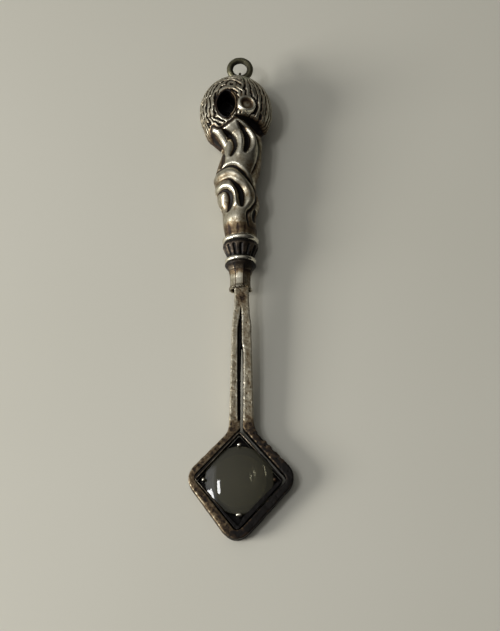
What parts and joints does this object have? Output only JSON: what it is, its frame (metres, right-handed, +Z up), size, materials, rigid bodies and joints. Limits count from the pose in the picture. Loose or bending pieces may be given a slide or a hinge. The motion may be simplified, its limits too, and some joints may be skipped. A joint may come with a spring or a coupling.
{
  "type": "chatelaine magnifying glass",
  "caption": "Small magnifying glass for a chatelaine: scroll-headed twisted metal handle with a hanging ring, collared ferrule and a diamond strap frame round a thick lens.",
  "frame": {"origin": "bottom centre of the bounding box, on the surface that the object lies on", "axes": "+Y along the handle from the lens to the hanging ring, +X to the right seen from the front, +Z up out of the front face; the object's axis rises 2.6 degrees towards the ring, because the frame and the back of the head both touch the surface"},
  "size_m": [0.0204, 0.1042, 0.0108],
  "materials": {
    "aged_silver": "worn bright on the high places, dark in the hollows",
    "dark_silver": "tarnished dark brown-grey",
    "tarnished_strap": "pitted brown-olive tarnish with bright rubbed edges",
    "tarnished_ring": "dull olive-brown tarnish with green corrosion",
    "iron": "bare, dark",
    "pitch": "hard dark brown pitch",
    "lens_glass": "polished thick glass, grey-olive"
  },
  "bodies": {
    "glass_body": {"ring_staple": "tarnished_ring", "handle_shell_front": "aged_silver", "handle_shell_back": "aged_silver", "handle_filling": "pitch", "tang": "iron", "upper_collar_ring": "aged_silver", "fluted_collar": "dark_silver", "lower_collar_ring": "aged_silver", "ferrule_cup": "dark_silver", "ferrule_tube": "aged_silver", "ferrule_solder": "pitch", "frame_strap": "tarnished_strap", "lens_liner": "dark_silver", "lens_seat_plate": "dark_silver", "lens": "lens_glass", "lens_claw_right": "aged_silver", "lens_claw_top": "aged_silver", "lens_claw_left": "aged_silver", "lens_claw_bottom": "aged_silver"},
    "ring_body": {"suspension_ring": "tarnished_ring"}
  },
  "joints": [
    {"name": "ring_swing", "type": "hinge", "parent": "glass_body", "child": "ring_body", "pos_m": [-0.0004, 0.04712, 0.00575], "axis": [1, 0, 0], "range_deg": [-60, 60]}
  ]
}
